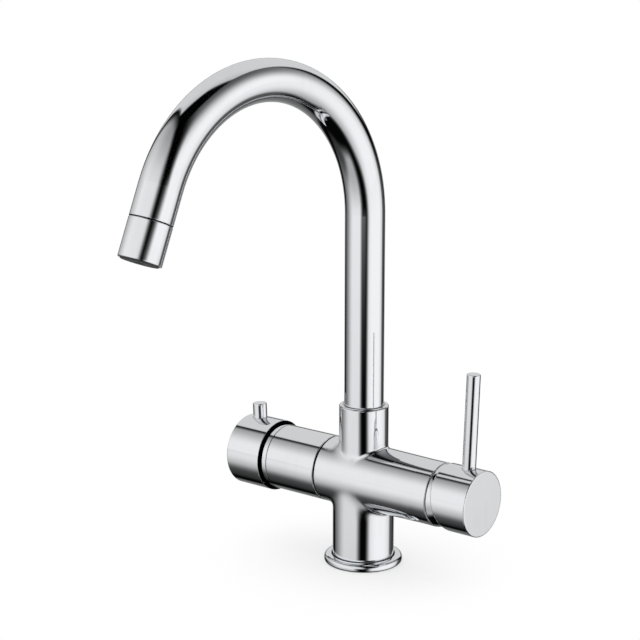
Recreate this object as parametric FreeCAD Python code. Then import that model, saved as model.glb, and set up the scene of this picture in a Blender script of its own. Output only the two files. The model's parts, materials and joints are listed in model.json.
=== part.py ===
import FreeCAD, Part
import math
import os

from FreeCAD import Placement, Rotation, Vector

# Kitchen mixer tap with a second valve for filtered water, in millimetres.
# The worktop is the plane z = 0 and the column stands on the Z axis.
# The spout reaches towards -Y, the mixer handle is on +X and the filter knob on -X.

# Gaps
running_gap = 0.05
fit_gap = 0.02
free_gap = 0.35
joint_line = 0.5
overrun = 1.0
full_turn = 360.0
match_limit = 0.001
hex_sides = 6

# Cast body
column_radius = 22.0
arm_height = 63.6
filter_boss_radius = 23.8
filter_boss_length = 27.5
mixer_arm_radius = 22.5
mixer_arm_length = 69.5
arm_middle_radius = 23.55
arm_taper_end = 56.0
collar_rise = 52.6
collar_wall = 2.7
collar_rim_chamfer = 0.8
crotch_fillet = 2.4
crown_fillet = 1.6
crotch_front_fillet = 12.0
crown_front_fillet = 5.0
body_edge = 0.6

# Spout
tube_radius = 14.0
tube_wall = 1.2
arch_start = 252.5
arch_radius = 96.5
arch_angle = 157.5
tip_straight = 21.5
nozzle_length = 26.0
spout_turn = -4.25
slide_ring_wall = 0.85
slide_ring_height = 9.8
slide_ring_drop = 0.3
thrust_ring_height = 4.0
thrust_ring_width = 2.4
spout_bore_floor_rise = 5.4
thrust_seat_rise = 14.4
thrust_ledge = 1.0
foot_height = 22.0
foot_wall = 4.0
foot_spigot_height = 8.0
foot_hub_wall = 1.5
foot_web_height = 4.0
spoke_count = 3
spoke_width = 2.2
seal_section = 2.3
seal_groove_play = 0.4
lower_seal_rise = 5.0
upper_seal_rise = 9.8
keeper_groove_rise = 16.0
keeper_groove_width = 3.2
keeper_groove_depth = 1.6
keeper_screw_radius = 2.0
keeper_tip_radius = 1.4
keeper_tip_length = 1.4
keeper_recess = 0.4

# Filtered water tube inside the spout
filter_tube_radius = 4.0
filter_tube_wall = 1.0
filter_tube_entry = 6.0
filter_bore_drop = 13.0
filter_seal_section = 1.8
filter_seal_drop = 1.4

# Nozzle
adaptor_insert = 13.0
adaptor_thread_length = 11.5
adaptor_wall = 2.3
nozzle_wall = 2.0
nozzle_edge = 0.4
washer_thickness = 1.6
aerator_seat_step = 0.4
aerator_wall = 1.3
aerator_proud = 0.7
aerator_floor = 1.4
aerator_hole_radius = 0.9
aerator_hole_count = 16
jet_wall = 1.8
jet_flange_width = 1.0
jet_flange_height = 1.5

# Mixer cartridge, placed from the point that the handle tilts about
pivot_inset = 3.8
arm_wall = 4.98
cartridge_wall = 2.3
neck_step = 2.5
neck_wall = 1.95
neck_reach = 5.0
neck_root = 6.5
shoulder_depth = 4.2
carrier_reach = 5.5
carrier_root = 6.6
carrier_flange_length = 5.8
carrier_flange_step = 0.3
tilt_limit = 25.0
tilt_lever = 9.0
stem_size_share = 0.616
stem_ball_share = 0.231
stem_neck_share = 0.154
pivot_pin_share = 0.154
pivot_pin_end_gap = 1.2
stem_inner_reach = 4.5
slot_end_gap = 0.35
slot_side_gap = 0.1
coupler_inner_root = 13.2
coupler_outer_root = 6.9
coupler_wall = 2.75
coupler_corner_gap = 0.7
coupler_socket_gap = 0.25
coupler_socket_floor = 12.3
moving_disc_side_gap = 0.47
moving_disc_thickness = 4.0
moving_disc_pocket_wall = 4.8
moving_disc_pocket_depth = 1.6
fixed_disc_side_gap = 1.2
fixed_disc_thickness = 4.2
disc_gap = 0.05
base_thickness = 6.8
base_proud = 0.5
port_seal_height = 1.8
port_seal_width = 1.2
port_spread_share = 0.571
inlet_port_drop_share = 0.357
outlet_port_rise_share = 0.607
port_share = 0.179
outlet_port_share = 0.214
clamp_nut_length = 5.0
clamp_nut_step = 0.8
clamp_nut_notch_count = 6
clamp_nut_notch_width = 4.0
clamp_nut_notch_depth = 1.8
dome_seat_wall = 2.6
dome_seat_depth = 3.0
dome_wall = 2.0
dome_spigot_wall = 2.2
dome_hole_angle = 38.0
dome_edge = 0.4

# Mixer handle
cap_overhang = 0.5
cap_rim_reach = 9.5
cap_rim_slope = 0.2
cap_rim_sweep = 107.0
cap_length = 26.8
cap_end_wall = 3.5
cap_edge = 0.8
insert_radius = 11.0
insert_length = 8.5
socket_gap = 0.05
stem_end_gap = 0.5
lever_radius = 4.75
lever_length = 66.5
lever_lean = 2.0
lever_centre_share = 0.565
lever_end_edge = 0.8
lever_seat_depth = 3.2
lever_stud_radius = 3.0
lever_stud_length = 3.8
boss_wall = 2.0
boss_depth = 7.6
boss_half_length = 6.5
handle_screw_radius = 2.5
screw_hole_radius = 3.0
plug_thickness = 1.5

# Filter valve
seat_chamber_start = 8.5
seat_chamber_step = 4.5
headwork_start = 14.0
headwork_thread_radius = 10.5
headwork_wall = 1.8
headwork_seal_height = 2.0
headwork_seal_width = 2.8
valve_disc_thickness = 2.6
valve_disc_port_share = 0.3
valve_disc_offset_share = 0.48
valve_chamber_length = 12.0
window_radius = 2.0
window_count = 4
ring_channel_start = 20.0
ring_channel_end = 25.0
ring_channel_depth = 3.1
headwork_hex_step = 3.5
headwork_hex_length = 6.0
headwork_barrel_step = 0.5
headwork_barrel_length = 12.0
headwork_neck_step = 2.0
spindle_radius = 4.0
spindle_foot_gap = 1.7
spindle_foot_length = 2.4
spindle_knob_length = 12.0
clip_thickness = 1.0
clip_width = 2.2
sleeve_wall = 1.8
sleeve_length = 48.75
sleeve_band_length = 4.5
sleeve_groove_width = 0.4
sleeve_groove_depth = 0.35
sleeve_end_edge = 1.0
sleeve_end_wall = 2.5
sleeve_nut_step = 4.0
sleeve_nut_length = 3.0
neck_beyond_nut = 1.8

# Filter knob
knob_radius = 26.1
knob_length = 30.5
knob_gap = 1.2
knob_wall = 1.9
knob_rim_chamfer = 0.25
knob_mouth_wall = 0.6
knob_mouth_depth = 3.0
knob_end_wall = 3.0
knob_edge = 0.8
knob_insert_wall = 5.0
knob_insert_length = 19.0
stub_radius = 5.2
stub_length = 10.8
stub_lean = 3.0
stub_centre_share = 0.645
stub_end_edge = 0.8

# Water inlets in the foot
inlet_circle = 11.5
inlet_thread_radius = 4.6
inlet_thread_length = 12.0
inlet_bore_radius = 2.4
stud_hole_radius = 3.4
stud_hole_length = 18.0
filter_channel_radius = 2.0
filter_channel_drop_share = 0.485

# Base ring
ring_overhang = 6.1
ring_height = 6.2
ring_foot_edge = 0.3
ring_wall_height = 3.4
ring_shoulder_inset = 1.2
ring_shoulder_rise = 1.2
ring_shoulder_belly = 0.35
ring_inner_flat = 0.6
gasket_inset = 2.4
gasket_width = 2.3
gasket_height = 1.5

# Places that follow from the sizes above
arm_axis = Vector(0, 0, arm_height)
up = Vector(0, 0, 1)
right = Vector(1, 0, 0)
left = Vector(-1, 0, 0)
back = Vector(0, 1, 0)
spout_bore_radius = tube_radius + running_gap + slide_ring_wall
collar_radius = spout_bore_radius + collar_wall
collar_top = arm_height + collar_rise
spout_bore_floor = arm_height + spout_bore_floor_rise
thrust_seat = arm_height + thrust_seat_rise
foot_bottom = thrust_seat + thrust_ring_height + fit_gap
foot_top = foot_bottom + foot_height
foot_bore_radius = tube_radius - foot_wall
aerator_radius = tube_radius - nozzle_wall + aerator_seat_step
jet_radius = filter_tube_radius - filter_tube_wall + jet_wall
aerator_hole_circle = (aerator_radius + jet_radius) / 2
keeper_height = foot_bottom + keeper_groove_rise
pivot_x = mixer_arm_length - pivot_inset
pivot = Vector(pivot_x, 0, arm_height)
dome_radius = math.hypot(pivot_inset, mixer_arm_radius)
cartridge_radius = mixer_arm_radius - arm_wall - fit_gap
chamber_radius = cartridge_radius - cartridge_wall
neck_radius = cartridge_radius - neck_step
neck_bore = neck_radius - neck_wall
carrier_radius = neck_bore - running_gap
stem_size = carrier_radius * stem_size_share
stem_ball_radius = carrier_radius * stem_ball_share
stem_neck_radius = carrier_radius * stem_neck_share
pivot_pin_radius = carrier_radius * pivot_pin_share
pivot_pin_half_length = carrier_radius - pivot_pin_end_gap
tilt_radians = math.radians(tilt_limit)
disc_travel = tilt_lever * tilt_radians
slot_half_height = stem_size / 2 / math.cos(tilt_radians) + carrier_reach * math.tan(tilt_radians)
slot_half_height = slot_half_height + slot_end_gap
coupler_socket_radius = stem_ball_radius + coupler_socket_gap
coupler_half_width = coupler_socket_radius + coupler_wall
coupler_corner = chamber_radius - coupler_corner_gap
coupler_top = math.sqrt(coupler_corner ** 2 - coupler_half_width ** 2) - disc_travel
fixed_disc_radius = chamber_radius - fixed_disc_side_gap
moving_disc_radius = chamber_radius - disc_travel - moving_disc_side_gap
port_spread = fixed_disc_radius * port_spread_share
inlet_port_drop = fixed_disc_radius * inlet_port_drop_share
outlet_port_rise = fixed_disc_radius * outlet_port_rise_share
port_radius = fixed_disc_radius * port_share
outlet_port_radius = fixed_disc_radius * outlet_port_share
dome_seat_radius = mixer_arm_radius - dome_seat_wall
clamp_nut_radius = dome_seat_radius - clamp_nut_step
cap_radius = mixer_arm_radius + cap_overhang
cap_rim_x = pivot_x + cap_rim_reach
cap_end_x = cap_rim_x + cap_length
cap_bore = math.sqrt((dome_radius + free_gap) ** 2 - cap_rim_reach ** 2)
disc_face_x = pivot_x - coupler_inner_root - moving_disc_thickness - disc_gap
base_outer_x = disc_face_x - fixed_disc_thickness
base_inner_x = base_outer_x - base_thickness
cartridge_floor_x = base_inner_x - base_proud
headwork_chamber = headwork_thread_radius - headwork_wall
headwork_neck_radius = headwork_thread_radius - headwork_neck_step
ring_channel_radius = headwork_thread_radius + ring_channel_depth
ring_channel_middle = (ring_channel_start + ring_channel_end) / 2
filter_channel_drop = ring_channel_radius * filter_channel_drop_share
filter_channel_reach = ring_channel_radius - filter_channel_radius / 2
filter_channel_side = math.sqrt(filter_channel_reach ** 2 - filter_channel_drop ** 2)
headwork_end = filter_boss_length + joint_line + sleeve_length
neck_end = headwork_end + sleeve_nut_length + neck_beyond_nut
knob_start = headwork_end + knob_gap
knob_end = knob_start + knob_length
knob_bore = knob_radius - knob_wall
knob_insert_radius = spindle_radius + knob_insert_wall
ring_radius = column_radius + ring_overhang
gasket_inner = column_radius + gasket_inset - gasket_width / 2


def square_to(direction):
    """A unit vector square to an axis that runs along X, Y or Z."""
    return back if direction.cross(right).Length < match_limit else right


def turned(profile, origin, direction):
    """A solid turned about an axis from (along, radius) points."""
    side = square_to(direction)
    corners = [origin + direction * along + side * radius for along, radius in profile]
    wire = Part.makePolygon(corners + corners[:1])
    return Part.Face(wire).revolve(origin, direction, full_turn)


def rod(origin, direction, start, end, radius):
    """A plain round bar between two places along an axis."""
    return Part.makeCylinder(radius, end - start, origin + direction * start, direction)


def pipe(origin, direction, start, end, outer, inner):
    """A plain round pipe between two places along an axis."""
    shell = rod(origin, direction, start, end, outer)
    return shell.cut(rod(origin, direction, start - overrun, end + overrun, inner))


def hex_bar(origin, direction, start, end, corner_radius):
    """A six sided bar, sized over its corners."""
    side = square_to(direction)
    other = direction.cross(side)
    sixth = 2 * math.pi / hex_sides
    corners = []
    for step in range(hex_sides):
        across = side * math.cos(step * sixth) + other * math.sin(step * sixth)
        corners.append(origin + direction * start + across * corner_radius)
    face = Part.Face(Part.makePolygon(corners + corners[:1]))
    return face.extrude(direction * (end - start))


def block(low, high):
    """A box from its lowest to its highest corner."""
    size = high - low
    return Part.makeBox(size.x, size.y, size.z, low)


def torus_ring(origin, direction, along, inner, section):
    """A round seal ring of a given inner radius and section."""
    half = section / 2
    return Part.makeTorus(inner + half, half, origin + direction * along, direction)


def around(shape, origin, direction, count):
    """Copies of a shape spread evenly round an axis."""
    copies = []
    for step in range(count):
        copy = shape.copy()
        copy.rotate(origin, direction, full_turn * step / count)
        copies.append(copy)
    return copies


def circles_at(shape, centre, radius):
    """The round edges of a shape that have this centre and radius."""
    found = []
    for edge in shape.Edges:
        curve = edge.Curve
        if curve.TypeId != "Part::GeomCircle":
            continue
        near = curve.Center.distanceToPoint(centre) < match_limit
        if near and abs(curve.Radius - radius) < match_limit:
            found.append(edge)
    return found


def chamfered(shape, size, centre, radius):
    """The shape with a chamfer on one of its round edges."""
    return shape.makeChamfer(size, circles_at(shape, centre, radius))


def rounded(shape, size, centre, radius):
    """The shape with a fillet on one of its round edges."""
    return shape.makeFillet(size, circles_at(shape, centre, radius))


def at_spout_turn(shape):
    """The spout's pieces stand a little left of square, as photographed."""
    turned_shape = shape.copy()
    turned_shape.rotate(Vector(0, 0, 0), up, spout_turn)
    return turned_shape


arch_end_angle = math.radians(arch_angle)
arch_end = Vector(
    0,
    -arch_radius * (1 - math.cos(arch_end_angle)),
    arch_start + arch_radius * math.sin(arch_end_angle),
)
tip_direction = Vector(0, -math.sin(arch_end_angle), math.cos(arch_end_angle))


def on_tip(shape):
    """A piece modelled up from the origin, moved to the end of the arch."""
    placed = shape.copy()
    placed.Placement = Placement(arch_end, Rotation(up, tip_direction))
    return at_spout_turn(placed)


def swan_neck(outer, inner, bottom, tip_length):
    """A pipe that rises, bends over in one arc and ends in a short straight."""
    rise = pipe(Vector(0, 0, 0), up, bottom, arch_start, outer, inner)
    bottom_cut = Part.Face(
        [
            Part.Wire(Part.makeCircle(outer, Vector(0, 0, arch_start), up)),
            Part.Wire(Part.makeCircle(inner, Vector(0, 0, arch_start), up)),
        ]
    )
    centre = Vector(0, -arch_radius, arch_start)
    bend = bottom_cut.revolve(centre, right, arch_angle)
    straight = Part.makeCylinder(outer, tip_length, arch_end, tip_direction)
    straight = straight.cut(
        Part.makeCylinder(
            inner, tip_length + 2 * overrun, arch_end - tip_direction * overrun, tip_direction
        )
    )
    neck = rise.fuse([bend, straight])
    return at_spout_turn(neck)


def spokes(inner, outer, start, end):
    """Flat ribs between a hub and a ring about the Z axis."""
    rib = block(Vector(inner, -spoke_width / 2, start), Vector(outer, spoke_width / 2, end))
    return around(rib, Vector(0, 0, 0), up, spoke_count)


def joint_curves(shape, low, high):
    """The edges where round bars meet, which are neither circles nor straight lines."""
    found = []
    for edge in shape.Edges:
        if edge.Curve.TypeId in ("Part::GeomCircle", "Part::GeomLine"):
            continue
        if low < edge.CenterOfMass.z < high:
            found.append(edge)
    return found


def soft_joint(quarter, low, high, side_radius, front_radius):
    """A fillet where two bars meet, small at the side and wide towards the front or back."""
    curves = []
    for edge in joint_curves(quarter, low, high):
        if min(abs(vertex.X) for vertex in edge.Vertexes) < match_limit:
            curves.append(edge)
    starts_wide = abs(curves[0].valueAt(curves[0].FirstParameter).x) < match_limit
    if starts_wide:
        return quarter.makeFillet(front_radius, side_radius, curves)
    return quarter.makeFillet(side_radius, front_radius, curves)


def body_outside():
    """Column, tapered cross arm and collar as one casting with soft inner corners."""
    column = rod(Vector(0, 0, 0), up, 0, arm_height, column_radius)
    cross = turned(
        [
            (-filter_boss_length, 0),
            (-filter_boss_length, filter_boss_radius - body_edge),
            (-filter_boss_length + body_edge, filter_boss_radius),
            (0, arm_middle_radius),
            (arm_taper_end, mixer_arm_radius),
            (mixer_arm_length - body_edge, mixer_arm_radius),
            (mixer_arm_length, mixer_arm_radius - body_edge),
            (mixer_arm_length, 0),
        ],
        arm_axis,
        right,
    )
    collar = rod(Vector(0, 0, 0), up, arm_height, collar_top, collar_radius)
    collar = chamfered(collar, collar_rim_chamfer, Vector(0, 0, collar_top), collar_radius)
    sharp = column.fuse([cross, collar]).removeSplitter()
    reach = mixer_arm_length + collar_top
    quarters = []
    for x_side in (-reach, reach):
        for y_side in (-reach, reach):
            low = Vector(min(0, x_side), min(0, y_side), -overrun)
            high = Vector(max(0, x_side), max(0, y_side), collar_top + overrun)
            quarter = sharp.common(block(low, high))
            quarter = soft_joint(
                quarter, arm_height, collar_top, crown_fillet, crown_front_fillet
            )
            quarters.append(
                soft_joint(quarter, 0, arm_height, crotch_fillet, crotch_front_fillet)
            )
    return quarters[0].fuse(quarters[1:]).removeSplitter()


def spout_bore():
    """The stepped bore in the collar with the small bore of the filtered water below it."""
    wide = rod(Vector(0, 0, 0), up, thrust_seat, collar_top + overrun, spout_bore_radius)
    narrow = rod(
        Vector(0, 0, 0), up, spout_bore_floor, thrust_seat + overrun, spout_bore_radius - thrust_ledge
    )
    filter_bore_bottom = spout_bore_floor - filter_bore_drop
    filter_bore = rod(
        Vector(0, 0, 0),
        up,
        filter_bore_bottom,
        spout_bore_floor + overrun,
        filter_tube_radius + running_gap,
    )
    groove_top = spout_bore_floor - filter_seal_drop
    groove = rod(
        Vector(0, 0, 0),
        up,
        groove_top - filter_seal_section - seal_groove_play,
        groove_top,
        filter_tube_radius + running_gap + filter_seal_section + fit_gap,
    )
    keeper_hole = rod(
        Vector(0, 0, keeper_height), back, 0, collar_radius + overrun, keeper_screw_radius + fit_gap
    )
    return [wide, narrow, filter_bore, groove, keeper_hole]


def mixer_bore():
    """The stepped bore in the right arm and the three water ways that meet its floor."""
    seat = rod(
        arm_axis,
        right,
        mixer_arm_length - dome_seat_depth,
        mixer_arm_length + overrun,
        dome_seat_radius,
    )
    shoulder_x = pivot_x - shoulder_depth
    thread = rod(arm_axis, right, shoulder_x, mixer_arm_length, clamp_nut_radius + fit_gap)
    seat_bore = rod(
        arm_axis, right, cartridge_floor_x, mixer_arm_length, cartridge_radius + fit_gap
    )
    ways = [seat, thread, seat_bore]
    mixed_start = Vector(0, 0, arm_height + outlet_port_rise)
    ways.append(
        rod(mixed_start, right, 0, cartridge_floor_x + overrun, outlet_port_radius)
    )
    inlet_x = math.sqrt(inlet_circle ** 2 - port_spread ** 2)
    for side in (1, -1):
        start = Vector(0, side * port_spread, arm_height - inlet_port_drop)
        ways.append(rod(start, right, inlet_x, cartridge_floor_x + overrun, port_radius))
    return ways


def filter_bore():
    """The stepped bore in the left boss and the water way from it to the spout's middle."""
    screw_bore = rod(
        arm_axis, left, headwork_start, filter_boss_length + overrun, headwork_thread_radius + fit_gap
    )
    chamber = rod(
        arm_axis,
        left,
        seat_chamber_start,
        headwork_start + overrun,
        headwork_thread_radius - seat_chamber_step,
    )
    ring_channel = rod(arm_axis, left, ring_channel_start, ring_channel_end, ring_channel_radius)
    side_start = Vector(0, filter_channel_side, arm_height - filter_channel_drop)
    side_way = rod(side_start, left, -filter_channel_radius, ring_channel_end, filter_channel_radius)
    cross_way = rod(side_start, back * -1, 0, filter_channel_side, filter_channel_radius)
    return [screw_bore, chamber, ring_channel, side_way, cross_way]


def inlet_places():
    """Where the hot, cold and filtered water come in under the foot."""
    inlet_x = math.sqrt(inlet_circle ** 2 - port_spread ** 2)
    return {
        "hot": Vector(inlet_x, port_spread, 0),
        "cold": Vector(inlet_x, -port_spread, 0),
        "filter": Vector(-inlet_circle, 0, 0),
    }


def foot_bores():
    """Threaded inlets and the stud hole in the foot of the column."""
    bores = []
    for name, place in inlet_places().items():
        top = arm_height if name == "filter" else arm_height - inlet_port_drop
        mouth = rod(place, up, -overrun, inlet_thread_length, inlet_thread_radius)
        way = rod(place, up, 0, top, inlet_bore_radius)
        bores.append(mouth)
        bores.append(way)
    bores.append(rod(Vector(0, 0, 0), up, -overrun, stud_hole_length, stud_hole_radius))
    return bores


def cast_body():
    body = body_outside()
    for cutter in spout_bore() + mixer_bore() + filter_bore() + foot_bores():
        body = body.cut(cutter)
    return body


def base_ring():
    """Foot ring with a rounded shoulder, pressed on the column, with a groove for its gasket."""
    bore = column_radius + fit_gap
    wall_top = Vector(ring_radius, 0, ring_wall_height)
    shoulder = Vector(ring_radius - ring_shoulder_inset, 0, ring_wall_height + ring_shoulder_rise)
    outward = Vector(ring_shoulder_belly, 0, ring_shoulder_belly)
    belly = (wall_top + shoulder) / 2 + outward
    corners = [
        shoulder,
        Vector(bore + ring_inner_flat, 0, ring_height),
        Vector(bore, 0, ring_height),
        Vector(bore, 0, 0),
        Vector(ring_radius - ring_foot_edge, 0, 0),
        Vector(ring_radius, 0, ring_foot_edge),
        wall_top,
    ]
    edges = [Part.Arc(wall_top, belly, shoulder).toShape()]
    for place, following in zip(corners[:-1], corners[1:]):
        edges.append(Part.LineSegment(place, following).toShape())
    ring = Part.Face(Part.Wire(edges)).revolve(Vector(0, 0, 0), up, full_turn)
    groove = pipe(
        Vector(0, 0, 0),
        up,
        -overrun,
        gasket_height + fit_gap,
        gasket_inner + gasket_width + fit_gap,
        gasket_inner - fit_gap,
    )
    return ring.cut(groove)


def base_gasket():
    return pipe(Vector(0, 0, 0), up, 0, gasket_height, gasket_inner + gasket_width, gasket_inner)


def spout_slide_ring():
    top = collar_top - slide_ring_drop
    outer = spout_bore_radius - fit_gap
    return pipe(Vector(0, 0, 0), up, top - slide_ring_height, top, outer, tube_radius + running_gap)


def spout_thrust_ring():
    outer = spout_bore_radius - fit_gap
    top = thrust_seat + thrust_ring_height
    return pipe(Vector(0, 0, 0), up, thrust_seat, top, outer, outer - thrust_ring_width)


def spout_keeper_screw():
    """Grub screw in the back of the collar whose tip runs in the foot's groove."""
    start = Vector(0, 0, keeper_height)
    thread_start = tube_radius + running_gap + fit_gap
    thread = rod(start, back, thread_start, collar_radius - keeper_recess, keeper_screw_radius)
    tip = rod(
        start, back, thread_start - keeper_tip_length, thread_start + overrun, keeper_tip_radius
    )
    socket = hex_bar(
        start,
        back,
        collar_radius - keeper_recess - keeper_screw_radius,
        collar_radius,
        keeper_tip_radius - fit_gap,
    )
    return thread.fuse(tip).cut(socket)


def filter_tube_seal():
    middle = spout_bore_floor - filter_seal_drop - (filter_seal_section + seal_groove_play) / 2
    inner = filter_tube_radius + running_gap
    return torus_ring(Vector(0, 0, 0), up, middle, inner, filter_seal_section)


def spout_foot():
    """Brass end of the spout with two seal grooves, a keeper groove and a spoked hub."""
    spigot_radius = tube_radius - tube_wall - fit_gap
    sleeve = rod(Vector(0, 0, 0), up, foot_bottom, foot_top, tube_radius)
    sleeve = sleeve.fuse(
        rod(Vector(0, 0, 0), up, foot_top, foot_top + foot_spigot_height, spigot_radius)
    )
    sleeve = sleeve.cut(
        rod(
            Vector(0, 0, 0),
            up,
            foot_bottom - overrun,
            foot_top + foot_spigot_height + overrun,
            foot_bore_radius,
        )
    )
    hub_radius = filter_tube_radius + foot_hub_wall
    web_top = foot_bottom + foot_web_height
    hub = pipe(Vector(0, 0, 0), up, foot_bottom, web_top, hub_radius, filter_tube_radius + fit_gap)
    ribs = spokes(hub_radius - fit_gap, foot_bore_radius + overrun, foot_bottom, web_top)
    foot = sleeve.fuse([hub] + ribs)
    groove_half = (seal_section + seal_groove_play) / 2
    seal_floor = spout_bore_radius - running_gap - seal_section - fit_gap
    for rise in (lower_seal_rise, upper_seal_rise):
        middle = foot_bottom + rise
        foot = foot.cut(
            pipe(
                Vector(0, 0, 0),
                up,
                middle - groove_half,
                middle + groove_half,
                tube_radius + overrun,
                seal_floor,
            )
        )
    keeper_half = keeper_groove_width / 2
    foot = foot.cut(
        pipe(
            Vector(0, 0, 0),
            up,
            keeper_height - keeper_half,
            keeper_height + keeper_half,
            tube_radius + overrun,
            tube_radius - keeper_groove_depth,
        )
    )
    return at_spout_turn(foot.removeSplitter())


def spout_seals():
    """Two equal seal rings that ride in the foot's grooves."""
    inner = spout_bore_radius - running_gap - seal_section
    rings = []
    for rise in (lower_seal_rise, upper_seal_rise):
        rings.append(torus_ring(Vector(0, 0, 0), up, foot_bottom + rise, inner, seal_section))
    return at_spout_turn(Part.makeCompound(rings))


def spout_tube():
    return swan_neck(tube_radius, tube_radius - tube_wall, foot_top + fit_gap, tip_straight)


def filter_tube():
    inner = filter_tube_radius - filter_tube_wall
    tip = tip_straight + adaptor_thread_length
    return swan_neck(filter_tube_radius, inner, spout_bore_floor - filter_tube_entry, tip)


def nozzle_adaptor():
    """Threaded ring fixed in the end of the spout, which also holds the inner tube."""
    insert_radius_here = tube_radius - tube_wall - fit_gap
    thread_radius = tube_radius - nozzle_wall - fit_gap
    bore = thread_radius - adaptor_wall
    start = tip_straight - adaptor_insert
    end = tip_straight + adaptor_thread_length
    ring = rod(Vector(0, 0, 0), up, start, tip_straight, insert_radius_here)
    ring = ring.fuse(rod(Vector(0, 0, 0), up, tip_straight, end, thread_radius))
    ring = ring.cut(rod(Vector(0, 0, 0), up, start - overrun, end + overrun, bore))
    hub_radius = filter_tube_radius + foot_hub_wall
    web_start = end - foot_web_height
    hub = pipe(Vector(0, 0, 0), up, web_start, end, hub_radius, filter_tube_radius + fit_gap)
    ribs = spokes(hub_radius - fit_gap, bore + overrun, web_start, end)
    return on_tip(ring.fuse([hub] + ribs).removeSplitter())


def nozzle_shell():
    start = tip_straight + joint_line
    end = tip_straight + nozzle_length
    shell = pipe(Vector(0, 0, 0), up, start, end, tube_radius, tube_radius - nozzle_wall)
    seat_start = tip_straight + adaptor_thread_length + washer_thickness
    shell = shell.cut(rod(Vector(0, 0, 0), up, seat_start, end + overrun, aerator_radius + fit_gap))
    for place in (start, end):
        shell = chamfered(shell, nozzle_edge, Vector(0, 0, place), tube_radius)
    return on_tip(shell)


def nozzle_washer():
    start = tip_straight + adaptor_thread_length
    outer = tube_radius - nozzle_wall - 2 * fit_gap
    return on_tip(
        pipe(Vector(0, 0, 0), up, start, start + washer_thickness, outer, outer - adaptor_wall)
    )


def aerator():
    """Outlet insert with a ring of holes for mixed water and a bore for the jet."""
    start = tip_straight + adaptor_thread_length + washer_thickness + fit_gap
    end = tip_straight + nozzle_length + aerator_proud
    cup = rod(Vector(0, 0, 0), up, start, end, aerator_radius)
    inside = aerator_radius - aerator_wall
    cup = cup.cut(rod(Vector(0, 0, 0), up, start - overrun, end - aerator_floor, inside))
    cup = cup.fuse(rod(Vector(0, 0, 0), up, start, end, jet_radius + aerator_wall))
    cup = cup.cut(rod(Vector(0, 0, 0), up, start - overrun, end + overrun, jet_radius + fit_gap))
    hole = rod(Vector(aerator_hole_circle, 0, 0), up, start, end + overrun, aerator_hole_radius)
    cup = cup.cut(around(hole, Vector(0, 0, 0), up, aerator_hole_count))
    cup = chamfered(cup, nozzle_edge, Vector(0, 0, end), aerator_radius)
    return on_tip(cup)


def filter_jet():
    """The small inner outlet that keeps the filtered water apart."""
    start = tip_straight + adaptor_thread_length
    end = tip_straight + nozzle_length + aerator_proud
    bore = filter_tube_radius - filter_tube_wall
    flange_radius = jet_radius + jet_flange_width
    flange = rod(Vector(0, 0, 0), up, start, start + jet_flange_height, flange_radius)
    stem = rod(Vector(0, 0, 0), up, start, end, jet_radius)
    jet = flange.fuse(stem).cut(rod(Vector(0, 0, 0), up, start - overrun, end + overrun, bore))
    return on_tip(jet)


def port_holes(start, end, extra):
    """The two inlet ports and the outlet port of the cartridge as cutters."""
    holes = []
    for side in (1, -1):
        place = Vector(0, side * port_spread, arm_height - inlet_port_drop)
        holes.append(rod(place, right, start, end, port_radius + extra))
    place = Vector(0, 0, arm_height + outlet_port_rise)
    holes.append(rod(place, right, start, end, outlet_port_radius + extra))
    return holes


def cartridge_base():
    base = rod(arm_axis, right, base_inner_x, base_outer_x, cartridge_radius - fit_gap)
    for hole in port_holes(base_inner_x - overrun, base_outer_x + overrun, 0):
        base = base.cut(hole)
    seat_end = cartridge_floor_x + port_seal_height
    for hole in port_holes(base_inner_x - overrun, seat_end, port_seal_width + fit_gap):
        base = base.cut(hole)
    return base


def cartridge_port_seals():
    """Three rubber rings between the cartridge's base and the floor of its bore."""
    start = cartridge_floor_x + fit_gap
    end = cartridge_floor_x + port_seal_height - fit_gap
    outers = port_holes(start, end, port_seal_width)
    inners = port_holes(start - overrun, end + overrun, 0)
    return Part.makeCompound([outer.cut(inner) for outer, inner in zip(outers, inners)])


def cartridge_fixed_disc():
    disc = rod(arm_axis, right, base_outer_x, disc_face_x, fixed_disc_radius)
    for hole in port_holes(base_outer_x - overrun, disc_face_x + overrun, 0):
        disc = disc.cut(hole)
    return disc


def cartridge_housing():
    """Outer shell of the cartridge, stepped down to the neck that guides the carrier."""
    neck_root_x = pivot_x - neck_root
    shoulder_x = pivot_x - shoulder_depth
    neck_end_x = pivot_x + neck_reach
    return turned(
        [
            (base_outer_x, chamber_radius),
            (base_outer_x, cartridge_radius),
            (shoulder_x, cartridge_radius),
            (shoulder_x, neck_radius),
            (neck_end_x, neck_radius),
            (neck_end_x, neck_bore),
            (neck_root_x, neck_bore),
            (neck_root_x, chamber_radius),
        ],
        arm_axis,
        right,
    )


def cartridge_nut():
    """Ring nut with key notches that clamps the cartridge's shoulder into the arm."""
    start = pivot_x - shoulder_depth + fit_gap
    end = start + clamp_nut_length
    nut = pipe(arm_axis, right, start, end, clamp_nut_radius, neck_radius + fit_gap)
    notch = block(
        Vector(end - clamp_nut_notch_depth, -clamp_nut_notch_width / 2, arm_height),
        Vector(end + overrun, clamp_nut_notch_width / 2, arm_height + clamp_nut_radius + overrun),
    )
    return nut.cut(around(notch, arm_axis, right, clamp_nut_notch_count))


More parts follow.
